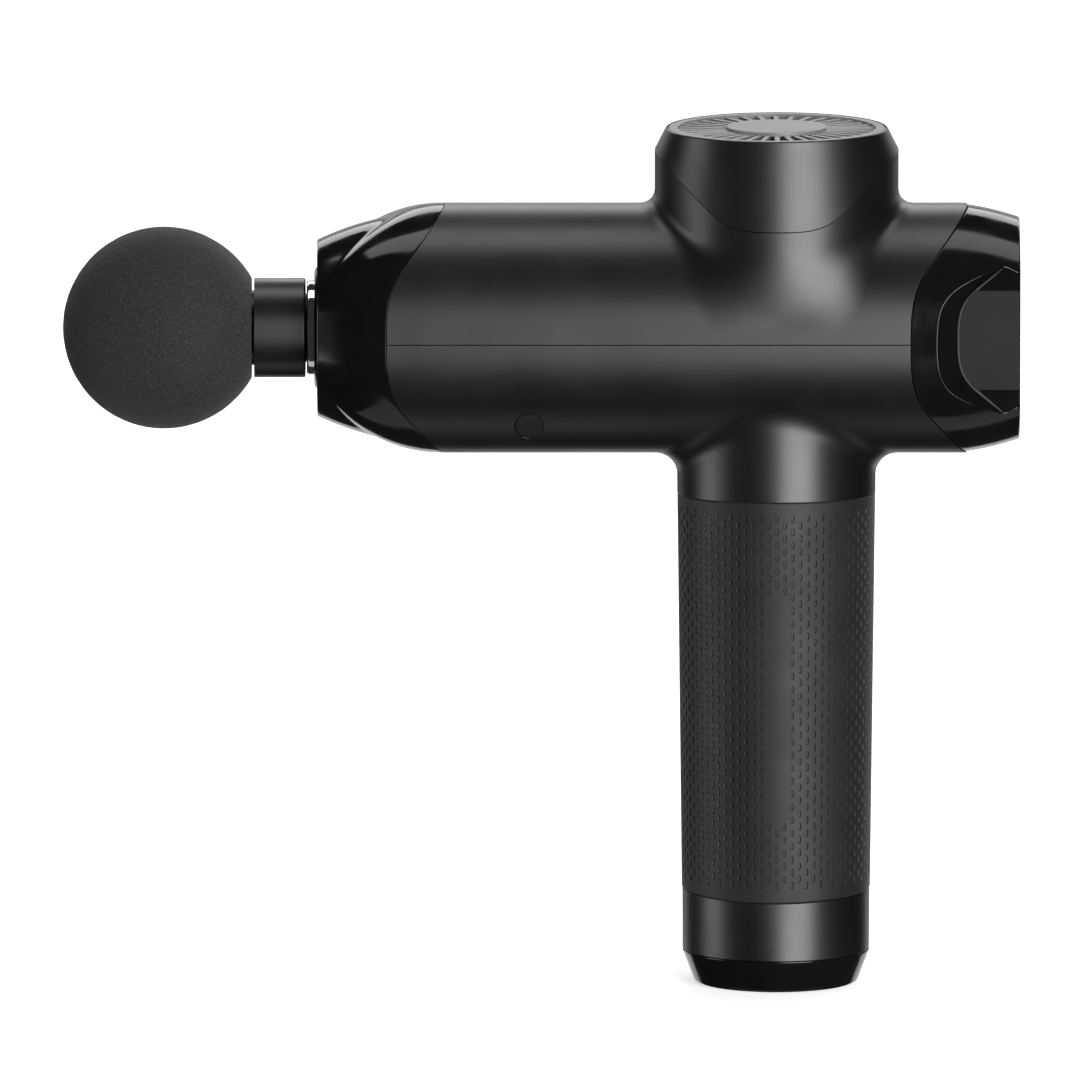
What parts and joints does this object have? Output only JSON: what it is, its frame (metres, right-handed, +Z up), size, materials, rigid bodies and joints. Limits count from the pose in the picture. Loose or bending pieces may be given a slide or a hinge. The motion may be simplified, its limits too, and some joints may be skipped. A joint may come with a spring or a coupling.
{
  "type": "percussive massage gun",
  "caption": "Cordless percussive massage gun: round foam head on a chrome plunger, barrel with top motor vent, dimpled rubber grip handle and a flat base.",
  "frame": {"origin": "centre of the handle's flat base, on the surface that it stands on", "axes": "+Z up along the handle, -X towards the massage head along the barrel, +Y to the barrel's far side"},
  "size_m": [0.2293, 0.06, 0.2072],
  "materials": {
    "satin_black": "satin",
    "gloss_black": "gloss",
    "matt_grey": "matte",
    "rubber_black": "matte",
    "foam_black": "matte",
    "vent_grey": "satin",
    "chrome": "polished",
    "steel": "satin",
    "aluminium": "satin",
    "magnet": "satin",
    "bush_white": "satin",
    "copper": "satin",
    "cell_blue": "satin",
    "board_green": "satin",
    "fibre": "matte",
    "inner_plastic": "matte",
    "light_guide": "satin",
    "lead_red": "satin",
    "lead_black": "satin",
    "ribbon": "satin"
  },
  "bodies": {
    "housing": {"upper_housing": "satin_black", "lower_housing": "satin_black", "handle_tube": "inner_plastic", "top_cap": "satin_black", "vent_grille": "vent_grey", "vent_badge": "vent_grey", "front_cover": "gloss_black", "front_bezel": "gloss_black", "rear_cover": "gloss_black", "side_panel_left": "matt_grey", "side_panel_right": "matt_grey", "rear_lens": "gloss_black", "led_ring": "light_guide", "display_board": "board_green", "power_switch": "inner_plastic", "driver_board": "board_green", "drive_frame": "aluminium", "guide_bush": "bush_white", "bearing_lower": "steel", "bearing_upper": "steel", "motor_stator": "copper", "battery_cell_1": "cell_blue", "battery_cell_2": "cell_blue", "battery_cell_3": "cell_blue", "battery_cell_4": "cell_blue", "battery_cell_5": "cell_blue", "battery_cell_6": "cell_blue", "battery_spacer": "fibre", "bms_board": "board_green", "charge_jack": "inner_plastic", "grip_sleeve": "rubber_black", "base_ring": "satin_black", "base_cap": "gloss_black", "plate_screw_left": "steel", "plate_screw_right": "steel", "frame_screw_left": "steel", "frame_screw_right": "steel", "base_screw_left": "steel", "base_screw_right": "steel", "screw_plug_left": "matt_grey", "screw_plug_right": "matt_grey", "battery_lead_red": "lead_red", "battery_lead_black": "lead_black", "display_ribbon": "ribbon"},
    "rotor": {"motor_rotor": "steel", "magnet_ring": "magnet", "motor_shaft": "steel", "cooling_fan": "inner_plastic", "crank_disc": "steel", "crank_pin": "steel", "crank_roller": "steel"},
    "plunger": {"plunger_sleeve": "chrome", "plunger_yoke": "aluminium", "plunger_pin": "steel"},
    "head": {"head_ball": "foam_black", "head_shank": "satin_black", "head_o_ring_front": "rubber_black", "head_o_ring_rear": "rubber_black"},
    "button": {"power_button": "satin_black"}
  },
  "joints": [
    {"name": "crank_turn", "type": "hinge", "parent": "housing", "child": "rotor", "pos_m": [0, 0, 0.1664], "axis": [0, 0, 1], "range_deg": [0, 180]},
    {"name": "plunger_stroke", "type": "slide", "parent": "housing", "child": "plunger", "axis": [-1, 0, 0], "range_m": [0, 0.01]},
    {"name": "head_pull", "type": "slide", "parent": "plunger", "child": "head", "axis": [-1, 0, 0], "range_m": [0, 0.025]},
    {"name": "power_press", "type": "slide", "parent": "housing", "child": "button", "axis": [-1, 0, 0], "range_m": [0, 0.0006], "stiffness_N_per_m": 2500}
  ],
  "couplings": [
    {"joint": "plunger_stroke", "follows": "crank_turn", "m_per_rad": 0.0031831}
  ]
}
